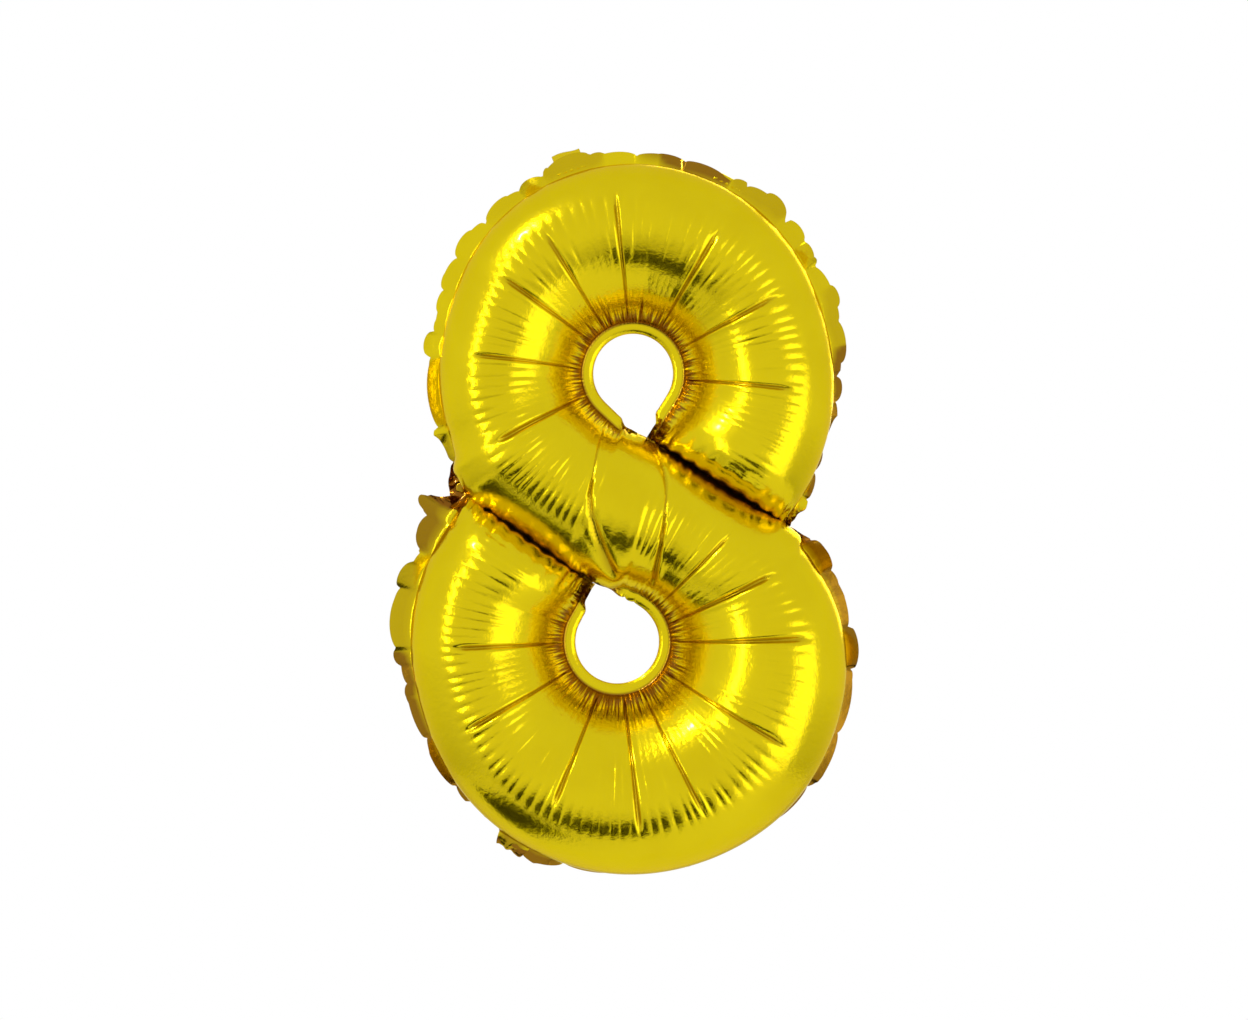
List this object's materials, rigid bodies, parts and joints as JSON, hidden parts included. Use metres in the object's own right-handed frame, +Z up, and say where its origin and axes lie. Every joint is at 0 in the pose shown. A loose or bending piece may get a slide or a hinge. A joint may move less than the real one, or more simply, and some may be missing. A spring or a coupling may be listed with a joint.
{
  "type": "foil number balloon",
  "caption": "Inflated gold foil balloon in the shape of the figure eight, with a sealed margin, a folded filling neck and hanging tabs.",
  "frame": {"origin": "outer edge of the sealed margin at the top of the eight, in the plane of the seam, between the two hanging tabs", "axes": "+Z up, +X to the right seen from the front, front towards -Y"},
  "size_m": [0.217, 0.0671, 0.3531],
  "materials": {
    "gold_foil": "mirror-bright gold metallised film",
    "valve_film": "thin translucent film"
  },
  "bodies": {
    "balloon": {"front_panel": "gold_foil", "back_panel": "gold_foil", "valve_front_film": "valve_film", "valve_back_film": "valve_film", "upper_notch_tack_weld": "gold_foil", "upper_hole_tack_weld": "gold_foil", "lower_notch_tack_weld": "gold_foil", "lower_hole_tack_weld": "gold_foil"},
    "filling_neck": {"neck_front_film": "gold_foil", "neck_back_film": "gold_foil"},
    "left_tab": {"left_hanging_tab": "gold_foil"},
    "right_tab": {"right_hanging_tab": "gold_foil"}
  },
  "joints": [
    {"name": "neck_fold", "type": "hinge", "parent": "balloon", "child": "filling_neck", "pos_m": [-0.06119, 0, -0.33767], "axis": [0.8572, 0, -0.515], "range_deg": [-248, 4]},
    {"name": "left_tab_fold", "type": "hinge", "parent": "balloon", "child": "left_tab", "pos_m": [-0.03106, 0, -0.00422], "axis": [-0.9511, 0, -0.309], "range_deg": [-180, 50]},
    {"name": "right_tab_fold", "type": "hinge", "parent": "balloon", "child": "right_tab", "pos_m": [0.04718, 0, -0.01106], "axis": [-0.8829, 0, 0.4695], "range_deg": [-215, 15]}
  ]
}
